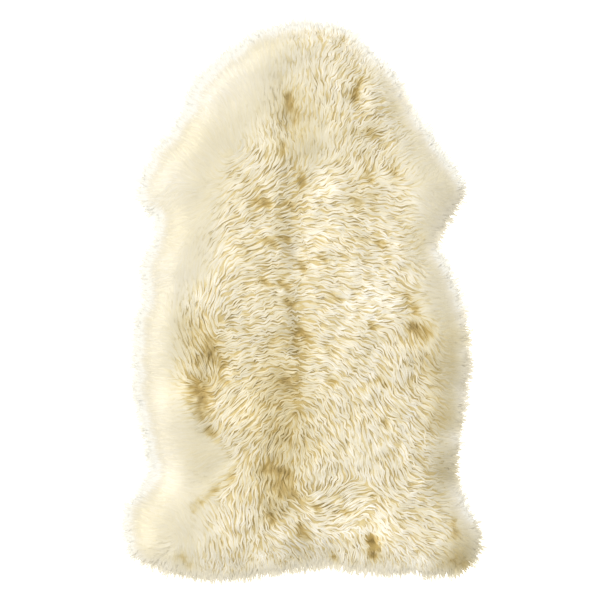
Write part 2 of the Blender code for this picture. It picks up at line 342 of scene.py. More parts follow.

# Where the wool parts and its golden depth shows, partly its own deeper gold and partly painted shade,
# which also darkens it there: place, from x, y to x, y, half width, depth in millimetres, and how golden,
# and so how darkened, it is.
PARTINGS = (
    ("nape", -20, 318, -18, 303, 7, 5, 1.1),
    ("nape", -8, 296, -9, 280, 5, 3, 0.6),
    ("nape", -27, 245, -30, 228, 5, 3, 0.6),
    ("nape", 0, 195, 3, 178, 6, 3, 0.8),
    ("nape, right", 90, 344, 84, 314, 6, 5, 0.9),
    ("neck, edge", 57, 398, 66, 412, 6, 4, 0.5),
    ("neck, edge", 30, 420, 30, 405, 4, 3, 0.3),
    ("right shoulder", 104, 262, 116, 256, 6, 3, 0.5),
    ("right shoulder", 102, 200, 106, 190, 5, 4, 0.8),
    ("right shoulder", 144, 200, 146, 190, 5, 3, 0.5),
    ("right of the back", 80, 156, 92, 150, 5, 4, 0.8),
    ("right of the back", 106, 162, 116, 160, 4, 3, 0.6),
    ("right of the back", 90, 98, 100, 92, 5, 3, 0.6),
    ("right of the back", 118, 92, 128, 84, 5, 3, 0.6),
    ("left of the back", -64, 154, -50, 150, 6, 4, 0.9),
    ("left of the back", -26, 153, -12, 148, 5, 4, 0.8),
    ("left of the back", -30, 98, -20, 93, 5, 4, 0.8),
    ("left of the back", -54, 94, -40, 88, 5, 4, 0.8),
    ("left of the back", -62, 34, -52, 26, 5, 4, 0.7),
    ("spine", -30, 27, -20, 21, 5, 4, 0.8),
    ("spine", -22, 0, -12, -8, 5, 4, 0.8),
    ("spine", 0, 58, 5, 48, 5, 4, 0.7),
    ("spine", 30, 68, 40, 58, 5, 3, 0.6),
    ("spine", 44, 8, 56, 2, 6, 4, 0.8),
    ("spine", -3, -48, 10, -55, 8, 5, 1.0),
    ("spine", 8, -78, 14, -84, 5, 3, 0.6),
    ("spine", -10, -64, -2, -70, 5, 3, 0.6),
    ("spine", -46, -64, -38, -56, 6, 3, 0.6),
    ("loin", -25, -122, -14, -130, 6, 4, 0.8),
    ("loin", 40, -72, 48, -78, 5, 3, 0.5),
    ("loin", 42, -120, 52, -126, 5, 3, 0.6),
    ("loin", -122, -122, -112, -130, 5, 3, 0.6),
    ("left hollow", -142, -62, -140, -84, 7, 5, 1.0),
    ("left hollow", -132, -92, -122, -100, 7, 5, 0.9),
    ("left hollow", -158, -140, -152, -172, 12, 5, 0.9),
    ("left hollow", -144, -200, -134, -208, 6, 3, 0.7),
    ("left haunch fold", -108, -272, -168, -322, 6, 3, 0.6),
    ("right flank hollow", 166, 8, 178, -14, 7, 3, 0.7),
    ("right flank hollow", 172, -42, 194, -50, 8, 5, 0.9),
    ("right flank hollow", 107, -36, 113, -44, 5, 3, 0.6),
    ("right haunch", 124, -120, 132, -130, 5, 3, 0.7),
    ("right haunch", 130, -186, 136, -196, 4, 3, 0.6),
    ("rump", -58, -262, -20, -268, 7, 3, 0.7),
    ("rump", -36, -288, -8, -300, 8, 3, 0.8),
    ("rump", -50, -334, -44, -342, 6, 4, 0.9),
    ("rump", 20, -318, 32, -326, 6, 3, 0.7),
    ("rump", 62, -322, 74, -330, 5, 3, 0.5),
    ("rump", -2, -352, 10, -366, 7, 4, 0.9),
    ("rump", 100, -304, 120, -298, 4, 3, 0.6),
    ("rump pit", 112, -374, 115, -396, 9, 10, 2.2),
    ("rump edge", 50, -400, 58, -412, 5, 4, 0.7),
    ("rump edge", -80, -392, -78, -404, 5, 3, 0.5),
    ("left hind leg", -186, -402, -178, -412, 10, 3, 0.4),
    ("right hind leg", 238, -345, 240, -370, 8, 3, 0.4),
    ("right hind leg", 236, -404, 256, -414, 14, 3, 0.35),
)
PARTING_DEPTH, PARTING_GOLD_AND_SHADE = 6, 7  # the columns that say so
PARTING_RAGGEDNESS = 6 * MM  # the size of the breaks in a parting
PARTING_SHARE, PARTING_SWING, PARTING_MOST = 0.9, 0.8, 1.4  # of its depth and gold, from break to break
# Painted shade: the partings are made darker and more golden than the wool around them.
GOLD_OF_PARTINGS = 0.8
PAINTED_SHADE_OF_PARTINGS = 0.35
TUFT_SIZE = 11 * MM  # of the loose tufts that crisp wool gathers in
TUFT_HEIGHT = 0.9  # millimetres, up and down
# Painted light on the raised tufts and painted shade in the hollows between them, which follow their
# height.
TUFT_PAINTED_PALENESS = 0.1
TUFT_PAINTED_LIGHT = 0.12

# How the wool's colour differs from place to place, partly its own tone and partly painted light and
# shade where the light falls more or less: place, x, y and reach in millimetres, then how much more
# golden, lighter and crisper it is there.
TONES = (
    ("neck, middle", 0, 385, 40, 0.0, -0.5, -0.3),
    ("nape, left", -25, 325, 50, 0.0, 0.0, -0.4),
    ("left of the neck", -110, 355, 45, -0.25, 0.0, 0.0),
    ("left of the nape", -49, 238, 22, 0.0, 0.4, -0.3),
    ("nape", -10, 290, 40, 0.4, -0.5, -0.2),
    ("nape", 20, 240, 40, 0.05, 0.0, -0.6),
    ("nape", -2, 225, 30, 0.25, -0.7, 0.0),
    ("below the nape", 36, 180, 22, -0.2, 0.5, 0.0),
    ("below the nape", -4, 180, 18, 0.3, -0.6, 0.0),
    ("neck, right", 153, 307, 22, 0.25, -0.1, 0.0),
    ("right shoulder", 100, 262, 40, 0.2, -0.4, 0.0),
    ("right shoulder", 93, 165, 30, 0.25, -0.35, 0.0),
    ("left shoulder", -165, 180, 60, 0.05, 0.0, 0.0),
    ("left shoulder", -96, 238, 30, 0.0, -0.35, 0.0),
    ("left foreleg", -238, 143, 30, -0.15, 0.2, 0.0),
    ("right shoulder", 188, 143, 28, -0.1, 0.35, 0.0),
    ("left of the back", -60, 145, 45, 0.2, -0.1, 0.0),
    ("right of the back", 46, 96, 25, -0.1, 0.45, 0.0),
    ("right of the back", 140, 96, 25, -0.1, 0.35, 0.0),
    ("right of the back", 188, 92, 25, 0.2, 0.3, 0.0),
    ("right rump", 93, -235, 30, 0.0, 0.0, -0.3),
    ("right of the back", 115, 5, 38, -0.15, 0.45, 0.0),
    ("spine", -10, 130, 22, 0.1, -0.3, 0.0),
    ("spine", -40, 40, 45, 0.2, -0.15, 0.0),
    ("spine", -25, -55, 35, 0.3, -0.4, 0.0),
    ("left of the loin", -96, -46, 30, 0.1, -0.4, 0.0),
    ("left of the loin", -88, -170, 32, 0.0, 0.5, 0.0),
    ("loin", -35, -135, 50, 0.6, -0.5, 0.0),
    ("loin", -30, -210, 45, 0.6, -0.5, 0.0),
    ("left hollow", -168, -40, 30, 0.35, -0.1, 0.0),
    ("left hollow", -150, -75, 38, 0.45, -0.5, 0.1),
    ("left hollow", -156, -130, 38, 0.45, -0.25, 0.1),
    ("left hollow", -143, -192, 22, 0.15, -0.6, 0.0),
    ("left hollow, below", -160, -250, 35, 0.2, -0.2, -0.5),
    ("left flank", -200, -142, 30, -0.1, 0.9, 0.0),
    ("left flank", -192, -282, 32, -0.05, 0.6, 0.0),
    ("left hind leg", -238, -376, 35, 0.0, 0.5, 0.0),
    ("left flank", -245, -190, 60, -0.15, 0.0, 0.0),
    ("left flank", -235, -60, 60, -0.15, 0.0, -0.5),
    ("right flank hollow", 182, -45, 28, 0.3, -0.2, 0.1),
    ("right flank", 215, -108, 38, 0.4, -0.55, 0.0),
    ("right flank", 222, -180, 30, 0.5, -0.3, 0.0),
    ("right flank", 232, -270, 35, 0.5, -0.9, 0.0),
    ("right flank", 245, -60, 35, 0.3, 0.0, 0.0),
    ("rump", -38, -282, 40, 0.65, -0.4, 0.1),
    ("rump", -45, -328, 25, 0.3, -0.35, 0.0),
    ("rump", 0, -375, 22, 0.1, -0.5, 0.0),
    ("rump", 105, -350, 45, -0.12, 0.75, 0.0),
    ("rump edge", 235, -430, 40, 0.1, -0.3, 0.0),
    ("rump, right", 170, -392, 32, -0.1, 0.45, 0.0),
    ("rump", -66, -397, 22, -0.1, 0.8, 0.0),
    ("left hind leg", -200, -425, 38, 0.05, 0.0, 0.0),
    ("left haunch", -168, -135, 20, 0.0, 0.6, 0.0),
    ("left haunch", -222, -128, 26, 0.0, -0.3, 0.0),
    ("left flank, above", -208, 190, 45, -0.25, 0.0, 0.0),
    ("left flank, above", -160, 315, 35, -0.3, 0.0, 0.0),
    ("left flank", -215, 45, 45, -0.2, 0.0, 0.0),
    ("left thigh", -205, -265, 40, -0.2, 0.0, 0.0),
    ("right hind leg", 245, -400, 28, 0.4, -0.3, -0.4),
    ("right hind leg", 280, -372, 30, 0.25, -0.5, -0.3),
)
TONE_GOLD, TONE_LIGHT, TONE_CRISP = 4, 5, 6  # the columns that say so
GOLD_OF_TONES = 0.55
LIGHT_OF_TONES = 0.6

NOISE_POINTS = 256  # a side, after which the noise repeats


def soft_noise(places, size, seed):
    """Smooth random values from -1 to 1 at places, with swells about that size."""
    lattice = np.random.default_rng(seed).uniform(-1, 1, (NOISE_POINTS, NOISE_POINTS))
    x, y = places[..., 0] / size, places[..., 1] / size
    across, up = x * math.cos(seed) - y * math.sin(seed), x * math.sin(seed) + y * math.cos(seed)
    spot = np.stack([across, up], axis=-1) + NOISE_POINTS / 2
    cell = np.floor(spot).astype(int)
    part = spot - cell
    return blend(lattice, cell % (NOISE_POINTS - 1), part * part * (3 - 2 * part))


def smooth_step(share):
    """The share from 0 to 1, eased at both ends."""
    share = np.clip(share, 0, 1)
    return share * share * (3 - 2 * share)


def toned(places, column):
    """How much more golden, lighter or crisper the wool is at places, by the column of TONES."""
    total = np.zeros(places.shape[:-1])
    for tone in TONES:
        off = ((places - np.array(tone[1:3]) * MM) ** 2).sum(axis=-1)
        total += np.exp(-off / (tone[3] * MM) ** 2) * tone[column]
    return total


def crispness(places):
    """From 0 in smooth wool to 1 in crisp, curly wool."""
    up, left, right = np.array(CRISP_WOOL[::-1]).T * MM
    left, right = np.interp(places[..., 1], up, left), np.interp(places[..., 1], up, right)
    from_left = smooth_step((places[..., 0] - left) / CRISP_FADE + 0.5)
    from_right = smooth_step((right - places[..., 0]) / CRISP_FADE + 0.5)
    return np.clip(from_left * from_right + toned(places, TONE_CRISP), 0, 1)


def away_from(places, ends):
    """How far places lie, in x and y, from a stretch whose ends are x, y and x, y in millimetres."""
    start, end = np.array(ends[:2]) * MM, np.array(ends[2:]) * MM
    share = np.clip((places - start) @ (end - start) / ((end - start) @ (end - start)), 0, 1)
    return places - start - share[..., None] * (end - start)


def parted(places, column):
    """How deep or how golden the partings make places, by the column of PARTINGS."""
    total = np.zeros(places.shape[:-1])
    for parting in PARTINGS:
        off = (away_from(places, parting[1:5]) ** 2).sum(axis=-1)
        total = np.maximum(total, np.exp(-off / (parting[5] * MM) ** 2) * parting[column])
    breaks = PARTING_SHARE + PARTING_SWING * soft_noise(places, PARTING_RAGGEDNESS, seed=17)
    return total * np.clip(breaks, 0, PARTING_MOST)


columns, rows = np.meshgrid(*(np.arange(size) for size in inside_grid.shape), indexing="ij")
grid_places = np.stack([columns, rows], axis=-1) * GRID_STEP + grid_corner
crisp_grid = crispness(grid_places) * smooth_step(inside_grid / CRISP_INSET)
# The tufts: raised ones are painted lighter and paler, the hollows between them darker and more golden.
tuft_grid = soft_noise(grid_places, TUFT_SIZE, seed=18) * crisp_grid
# How golden and how darkened, as painted shade, each parting makes the wool.
parting_grid = parted(grid_places, PARTING_GOLD_AND_SHADE)
# Painted shade on the rim's side that is turned from the key light: darker and more golden there.
shaded_rim_grid = np.clip(-slope_of(inside_grid, grid_places) @ np.array(SHADED_RIM_SIDE), 0, 1)
shaded_rim_grid = shaded_rim_grid * (1 - smooth_step(inside_grid / SHADED_RIM_FADE))
# The tones paint the wool's own tone and, in part, the light and shade that fall on it.
golden_grid = GOLD_OF_PARTINGS * parting_grid + GOLD_OF_TONES * toned(grid_places, TONE_GOLD)
golden_grid = golden_grid - TUFT_PAINTED_PALENESS * tuft_grid + SHADED_RIM_PAINTED_GOLD * shaded_rim_grid
light_grid = LIGHT_OF_TONES * toned(grid_places, TONE_LIGHT) - PAINTED_SHADE_OF_PARTINGS * parting_grid
light_grid = light_grid + TUFT_PAINTED_LIGHT * tuft_grid - SHADED_RIM_PAINTED_SHADE * shaded_rim_grid
droop_grid = 1 - RIM_DROOP * (1 - smooth_step((inside_grid - RIM_DROOP_START) / RIM_DROOP_REACH))
relief_grid = (TUFT_HEIGHT * tuft_grid - parted(grid_places, PARTING_DEPTH)) * MM
top_grid = np.maximum(fleece_grid * droop_grid + relief_grid, LEAST_FLEECE)


def underwool_height(places):
    """How high the underwool stands at places."""
    way_in = (read_grid(inside_grid, places) - UNDERWOOL_INSET) / UNDERWOOL_ROUND
    way_in = np.clip(way_in, 0, 1)
    shoulder = np.sqrt(1 - (1 - way_in) ** 2)
    crisp = read_grid(crisp_grid, places)
    full = read_grid(top_grid, places) - UNDERWOOL_DROP[0] - (UNDERWOOL_DROP[1] - UNDERWOOL_DROP[0]) * crisp
    full = full + LUMP_HEIGHT * soft_noise(places, LUMP_SIZE, seed=3) * way_in * crisp
    return UNDERWOOL_FLOOR + np.maximum(full - UNDERWOOL_FLOOR, UNDERWOOL_LEAST) * shoulder


def give_tint(mesh, tint):
    """Keeps a tint for each vertex on the mesh, where the materials of wool read it: red is how light
    it is, green how golden, blue how crisp, and alpha is a number of each strand's own."""
    kept = mesh.attributes.new("tint", "FLOAT_COLOR", "POINT")
    kept.data.foreach_set("color", tint.astype(np.float32).ravel())


def even_rows(low, high, spacing):
    """Places between two corners, that far apart, in rows of which every other is set off by half of it."""
    rows = np.arange(low[1], high[1], spacing * math.sqrt(3) / 2)
    x, y = np.meshgrid(np.arange(low[0], high[0], spacing), rows)
    x = x + (np.arange(len(rows)) % 2)[:, None] * spacing / 2
    return np.stack([x.ravel(), y.ravel()], axis=1)


def underwool_mesh():
    """The underwool's body: an even net of triangles over its top, and a flat foot."""
    loop = walk_round(UNDERWOOL_INSET, UNDERWOOL_STEP)
    net = even_rows(loop.min(axis=0), loop.max(axis=0), UNDERWOOL_STEP)
    net = net[read_grid(inside_grid, net) > UNDERWOOL_INSET + UNDERWOOL_MARGIN]
    places = [Vector(p) for p in np.concatenate([loop, net])]
    sides = [(i, (i + 1) % len(loop)) for i in range(len(loop))]
    flat = delaunay_2d_cdt(places, sides, [], 1, 1e-6)
    points, triangles = np.array([tuple(p) for p in flat[0]]), flat[2]
    made = bmesh.new()
    verts = [made.verts.new((p[0], p[1], h)) for p, h in zip(points, underwool_height(points))]
    for triangle in triangles:
        made.faces.new([verts[i] for i in triangle])
    bmesh.ops.contextual_create(made, geom=[e for e in made.edges if e.is_boundary])
    bmesh.ops.triangulate(made, faces=[f for f in made.faces if len(f.verts) > 4])
    bmesh.ops.recalc_face_normals(made, faces=made.faces)
    mesh = smooth_mesh(made, "underwool", UNDERWOOL_SHARP)
    crisp = read_grid(crisp_grid, points)
    rim = 1 - smooth_step(read_grid(inside_grid, points) / RIM_FADE)
    golden = (PLAIN_GOLD + SOFT_GOLD * (1 - crisp)) * (1 - rim) + UNDERWOOL_GOLD * crisp
    golden = golden + read_grid(golden_grid, points)
    # Painted light at the rim, where the thin wool would lie in shade.
    light = UNDERWOOL_SHADE - UNDERWOOL_SOFT_SHADE * (1 - crisp) + RIM_PAINTED_LIGHT * rim
    light = light + read_grid(light_grid, points)
    give_tint(mesh, np.stack([light, golden, light, light], axis=1))
    return mesh


# The colours of wool, from the cream of its tips to the gold of its depth, at shares of the way.
WOOL_COLOURS = (
    (0.0, "#e9e7dd"),
    (0.1, "#e0d9c6"),
    (0.32, "#dcd2b3"),
    (0.55, "#d5c597"),
    (0.77, "#cdb880"),
    (1.0, "#c2a868"),
)
DARKEST, LIGHTEST = 0.4, 1.2  # what wool's own colour is multiplied by, in the deepest shade and the least


def wool_colour(material, golden, light):
    """Adds the colour of wool that is so golden and so light, and gives its output."""
    tone = add_node(material, "ValToRGB", [(golden, "Fac")])
    ramp = tone.color_ramp
    ramp.elements[0].color = linear(WOOL_COLOURS[0][1])
    ramp.elements[1].color = linear(WOOL_COLOURS[-1][1])
    for share, colour in WOOL_COLOURS[1:-1]:
        ramp.elements.new(share).color = linear(colour)
    shade = add_node(material, "MapRange", [(light, "Value")],
                     sockets={"From Min": -1.0, "To Min": DARKEST, "To Max": LIGHTEST})
    coloured = add_node(material, "VectorMath", [(tone.outputs["Color"], 0), (shade.outputs["Result"], 1)],
                        operation="MULTIPLY")
    return coloured.outputs["Vector"]


def matted_wool():
    """Felted wool close to the skin: dull and fibrous, and golden partly of its own and partly as painted
    shade, so that it reads as depth between locks.
    """
    wool, shader = new_material("matted wool", {"IOR": 1.55, "Specular IOR Level": 0.1, "Roughness": 0.95})
    place = add_node(wool, "TexCoord")
    fibre = add_node(wool, "TexNoise", [(place.outputs["Object"], "Vector")],
                     sockets={"Scale": 1 / (3 * MM), "Detail": 6, "Roughness": 0.7, "Distortion": 1.5})
    tint = add_node(wool, "Attribute", attribute_name="tint")
    parts = add_node(wool, "SeparateColor", [(tint.outputs["Color"], "Color")])
    uneven = add_node(wool, "MapRange", [(fibre.outputs["Fac"], "Value")],
                      sockets={"To Min": 0.2, "To Max": -0.2})
    golden = add_node(wool, "Math", [(parts.outputs["Green"], 0), (uneven.outputs["Result"], 1)])
    coloured = wool_colour(wool, golden.outputs["Value"], parts.outputs["Red"])
    relief = add_node(wool, "Bump", [(fibre.outputs["Fac"], "Height")],
                      sockets={"Strength": 0.8, "Distance": 1 * MM})
    wool.node_tree.links.new(coloured, shader.inputs["Base Color"])
    wool.node_tree.links.new(relief.outputs["Normal"], shader.inputs["Normal"])
    return wool


underwool = mesh_piece("underwool", underwool_mesh())
underwool.data.materials.append(matted_wool())
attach(underwool, "root")
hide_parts("pelt")

# ---------------------------------------------------------------------------------------------
# Locks
# The long wool itself, in wavy locks that lie side by side the way they are combed, and end in soft
# points over the roots of the next ones. Each lock is a closed, crested body whose root dips into the
# wool below it, on its way down to the hide.

# How the wool lies: place on the pelt, x, y in millimetres, direction from root to tip in degrees,
# counted from +X towards +Y.
COMBING = (
    ("neck, middle", 14, 419, 90),
    ("neck, middle", -36, 362, 92),
    ("neck, right", 69, 411, 65),
    ("neck, right", 101, 380, 43),
    ("neck, left", -33, 411, 97),
    ("neck, left", -96, 380, 125),
    ("left of the neck", -143, 348, 145),
    ("left of the nape", -115, 290, 110),
    ("nape", -2, 301, 90),
    ("nape", 10, 240, 90),
    ("nape, left", -50, 260, 95),
    ("nape, right", 46, 317, 88),
    ("nape, right", 50, 262, 80),
    ("nape, right", 85, 356, 55),
    ("right shoulder", 109, 317, 25),
    ("right shoulder", 140, 333, 20),
    ("right shoulder", 156, 301, 25),
    ("right shoulder", 104, 262, 32),
    ("right shoulder", 100, 222, 70),
    ("right shoulder", 150, 240, 35),
    ("right shoulder, low", 188, 254, 38),
    ("right foreleg", 219, 222, 40),
    ("right foreleg", 258, 183, 10),
    ("right foreleg", 251, 159, -10),
    ("right foreleg, low", 219, 136, -30),
    ("below the nape", 30, 178, 25),
    ("below the nape", 62, 190, 35),
    ("below the nape", 60, 160, 0),
    ("below the nape", 115, 170, -12),
    ("left shoulder", -238, 238, 150),
    ("left foreleg", -262, 175, 180),
    ("left foreleg, low", -238, 136, 200),
    ("left of the spine", -55, 208, 232),
    ("left of the spine", -78, 178, 218),
    ("left of the spine", -39, 165, 212),
    ("left of the spine", -39, 139, 195),
    ("left of the spine", -80, 96, 200),
    ("left of the spine", -30, 60, 188),
    ("left of the spine", -70, 10, 205),
    ("left of the back", -115, 125, 225),
    ("left of the back", -131, 69, 238),
    ("left of the back", -120, 10, 225),
    ("left of the back", -160, 49, 262),
    ("left of the back", -167, 2, 275),
    ("left of the back", -160, -35, 283),
    ("left hollow", -165, -75, 292),
    ("left flank", -220, 60, 180),
    ("left flank", -235, -60, 180),
    ("left flank", -235, -160, 180),
    ("left flank", -220, -260, 180),
    ("right of the spine", 46, 136, 0),
    ("right of the spine", 77, 96, -25),
    ("right of the back", 110, 100, -28),
    ("right of the back", 125, 65, 0),
    ("right of the back", 150, 110, 10),
    ("right of the back", 188, 80, 25),
    ("right flank hollow", 172, 57, -55),
    ("right of the spine", 46, 30, -5),
    ("right of the spine", 46, 2, -20),
    ("right of the back", 105, 20, -8),
    ("right of the loin", 61, -46, -25),
    ("right of the loin", 93, -93, -45),
    ("right of the loin", 125, -125, -65),
    ("loin", 46, -109, -15),
    ("loin", 69, -150, -60),
    ("right haunch", 172, -93, -75),
    ("right haunch", 188, -77, -60),
    ("right haunch", 203, -109, -40),
    ("right flank", 230, 20, 0),
    ("right flank", 235, -100, 0),
    ("rump", 46, -203, -60),
    ("rump", 93, -219, -75),
    ("right haunch, low", 140, -188, -60),
    ("right haunch, low", 164, -203, -40),
    ("right haunch, low", 188, -180, -30),
    ("right haunch, low", 188, -227, -35),
    ("right rump", 138, -262, -80),
    ("right rump", 151, -300, -45),
    ("right rump", 180, -309, 0),
    ("right rump", 203, -303, -12),
    ("right rump", 170, -340, -25),
    ("rump whorl", 93, -320, 198),
    ("rump whorl", 46, -337, 200),
    ("rump", 19, -361, -50),
    ("rump", 58, -385, -65),
    ("rump", 117, -348, -60),
    ("rump", 140, -377, -50),
    ("rump, right", 172, -385, -40),
    ("rump, right", 203, -408, -40),
    ("right hind leg", 235, -345, -30),
    ("right hind leg", 282, -377, -15),
    ("right hind leg", 290, -408, -45),
    ("rump edge", 40, -432, -80),
    ("rump edge", 130, -432, -75),
    ("rump edge", 220, -432, -60),
    ("left of the rump", -96, -330, -88),
    ("left of the rump", -136, -285, 205),
    ("left of the rump", -150, -331, -55),
    ("rump, left", -65, -298, -95),
    ("rump, left", -50, -230, -100),
    ("rump dent", -36, -340, -40),
    ("rump dent", -10, -372, -50),
    ("rump edge, left", -80, -408, -90),
    ("rump edge, left", -159, -408, -90),
    ("left hind leg", -238, -385, 195),
    ("left hind leg", -270, -361, 180),
    ("left hind leg", -238, -314, 170),
    ("left haunch", -96, -156, 238),
    ("left haunch", -118, -172, 242),
    ("left haunch", -72, -203, 225),
    ("left of the loin", -80, -77, 187),
    ("left of the loin", -96, -109, 205),
    ("left of the loin", -120, -69, 190),
    ("left hollow", -136, -93, 280),
    ("left hollow", -160, -160, 185),
)
COMBING_REACH = 26 * MM  # over which one of these directions fades out
COMBING_SOFTNESS = 14 * MM  # over which they blend into each other
FACING_SOFTNESS = 8 * MM  # over which their mean does
OUTWARD_PULL = 0.04  # how much the wool elsewhere lies towards the nearest edge
RIM_PULL = 1.5  # how much it does so at the ends of the wool
RIM_PULL_REACH = 30 * MM  # inside them, within which it turns that way
UNSURE = 0.8  # where the directions agree less than this, wool from both sides crosses
SWIRL_SIZE = 26 * MM
SWIRL_SWING = math.radians(16)


def comb_wool():
    """How the wool lies, as grids over the pelt: the line that it keeps to, as the cosine and sine of
    twice its angle, and the mean of its directions, whose length tells how well these agree."""
    outward = -slope_of(inside_grid, grid_places)
    near_rim = np.clip(1 - inside_grid / RIM_PULL_REACH, 0, 1)
    weights = OUTWARD_PULL + near_rim * near_rim * RIM_PULL
    angle = np.arctan2(outward[..., 1], outward[..., 0])
    line = np.stack([np.cos(2 * angle), np.sin(2 * angle)]) * weights
    mean = np.stack([np.cos(angle), np.sin(angle)]) * weights
    for _, x, y, degrees in COMBING:
        off = ((grid_places - np.array([x, y]) * MM) ** 2).sum(axis=-1)
        weight = np.exp(-off / COMBING_REACH ** 2)
        angle = math.radians(degrees)
        line += np.array([math.cos(2 * angle), math.sin(2 * angle)])[:, None, None] * weight
        mean += np.array([math.cos(angle), math.sin(angle)])[:, None, None] * weight
        weights = weights + weight
    line = np.stack([soften(line[0], COMBING_SOFTNESS), soften(line[1], COMBING_SOFTNESS)])
    swirl = soft_noise(grid_places, SWIRL_SIZE, seed=12) * SWIRL_SWING
    angle = np.arctan2(line[1], line[0]) + 2 * swirl
    mean = mean / weights
    return np.cos(angle), np.sin(angle), soften(mean[0], FACING_SOFTNESS), soften(mean[1], FACING_SOFTNESS)


def distance_along(lie_x, lie_y):
    """A grid that rises by a metre for each metre along the wool, as nearly as one surface can."""
    turns_x = np.fft.fftfreq(lie_x.shape[0], GRID_STEP)[:, None] * math.tau
    turns_y = np.fft.fftfreq(lie_x.shape[1], GRID_STEP)[None, :] * math.tau
    both = turns_x * np.fft.fft2(lie_x) + turns_y * np.fft.fft2(lie_y)
    size = turns_x ** 2 + turns_y ** 2
    size[0, 0] = 1
    return np.fft.ifft2(-1j * both / size).real


TINY = 1e-9  # keeps a size from being nought where it divides

line_cos_grid, line_sin_grid, mean_x_grid, mean_y_grid = comb_wool()
mean_size_grid = np.hypot(mean_x_grid, mean_y_grid) + TINY
along_grid = distance_along(mean_x_grid / mean_size_grid, mean_y_grid / mean_size_grid)


def wool_direction(places, before=None):
    """The directions in which the wool lies at places, as near as can be to those before, or to the
    mean of the combing."""
    angle = np.arctan2(read_grid(line_sin_grid, places), read_grid(line_cos_grid, places)) / 2
    lie = np.stack([np.cos(angle), np.sin(angle)], axis=-1)
    if before is None:
        before = np.stack([read_grid(mean_x_grid, places), read_grid(mean_y_grid, places)], axis=-1)
    return lie * np.where((lie * before).sum(axis=-1) < 0, -1, 1)[..., None]


def turned(directions, angles):
    """Directions turned by angles, counterclockwise."""
    c, s = np.cos(angles), np.sin(angles)
    x, y = directions[..., 0], directions[..., 1]
    return np.stack([x * c - y * s, x * s + y * c], axis=-1)


def draw_out(roots, lengths, turns, shares, chance):
    """The way of each strand in plan, following the wool from its root. Turns are its own bias."""
    mean = np.stack([read_grid(mean_x_grid, roots), read_grid(mean_y_grid, roots)], axis=-1)
    facing = wool_direction(roots, mean + chance.normal(0, UNSURE / 2, roots.shape))
    way = [roots]
    for share, before in zip(shares[1:], shares[:-1]):
        step = ((share - before) * lengths)[:, None]
        facing = wool_direction(way[-1], facing)
        facing = wool_direction(way[-1] + facing * step / 2, facing)
        way.append(way[-1] + turned(facing, turns) * step)
    return np.stack(way, axis=1)


WAVE_LENGTH = 21 * MM  # of the crimp
WAVE_SWAY = 1.5 * MM  # to either side
WAVE_RISE = 0.4 * MM  # up and down
WAVE_LAG = 0.8  # radians by which the rise is ahead of the sway
WAVE_DRIFT = 2.6  # radians by which the waves fall out of step from place to place
WAVE_DRIFT_SIZE = 13 * MM
SMOOTH_CRIMP = 0.12  # of these, which smooth wool keeps


def rising(least, share):
    """From least to 1, as the share goes from 0 to 1."""
    return least + (1 - least) * share


def crimp(plan, offsets, sizes):
    """The crimp of strands in plan: how far it carries them aside, and how far up."""
    phase = math.tau * read_grid(along_grid, plan) / WAVE_LENGTH
    phase = phase + WAVE_DRIFT * soft_noise(plan, WAVE_DRIFT_SIZE, seed=14) + offsets
    share = rising(SMOOTH_CRIMP, read_grid(crisp_grid, plan)) * sizes
    lie = wool_direction(plan)
    across = np.stack([-lie[..., 1], lie[..., 0]], axis=-1)
    sway = across * (WAVE_SWAY * share * np.sin(phase))[..., None]
    return sway, WAVE_RISE * share * np.cos(phase + WAVE_LAG)


SKIRT = 0.9  # how deep the sides of a strand reach into the wool below, as a share of half its width
SMOOTH_CREST = 0.5  # of a strand's crest and skirt, which smooth wool keeps
LEAST_HEIGHT = 0.3 * MM  # at which wool rests on the floor
NORMAL_LEAN = math.radians(30)
SMOOTH_LEAN = 0.1  # of a strand's own form, which the light sees in smooth wool
FLEECE_SLOPE = 0.5  # of the fleece's slope, which it sees
RIM_UPRIGHT = 30 * MM  # inside the ends of the wool, over which it stops seeing that slope
CRISP_SHARE = 0.5  # by which the fleece's form counts for less in crisp wool
ROOT_STRIP = 0.06  # of a strand's map, which its closed root takes
ROOT_TIP = 0.04  # how far up that strip its triangle reaches
CELL_MARGIN = 0.04  # of a strand's cell on the map for baking, free on each side


def strand_faces(rings):
    """The faces of a closed, three-sided strand of that many rings and a tip. Each has its corners,
    their places on the strand's own map, and whether it is on the side that lies on the fleece."""
    faces = []
    for ring in range(rings - 1):
        for corner in range(3):
            a, b = ring * 3 + corner, ring * 3 + (corner + 1) % 3
            u, v = corner / 3, (corner + 1) / 3
            low, high = (ROOT_STRIP + (1 - ROOT_STRIP) * each / rings for each in (ring, ring + 1))
            faces.append(((a, a + 3, b + 3, b), ((u, low), (u, high), (v, high), (v, low)), corner == 1))
    faces.append(((0, 1, 2), ((0, 0), (1, 0), (0.5, ROOT_TIP)), True))
    last, low = (rings - 1) * 3, 1 - (1 - ROOT_STRIP) / rings
    for corner in range(3):
        u, v = corner / 3, (corner + 1) / 3
        corners = (last + corner, rings * 3, last + (corner + 1) % 3)
        faces.append((corners, ((u, low), ((u + v) / 2, 1), (v, low)), corner == 1))
    return faces


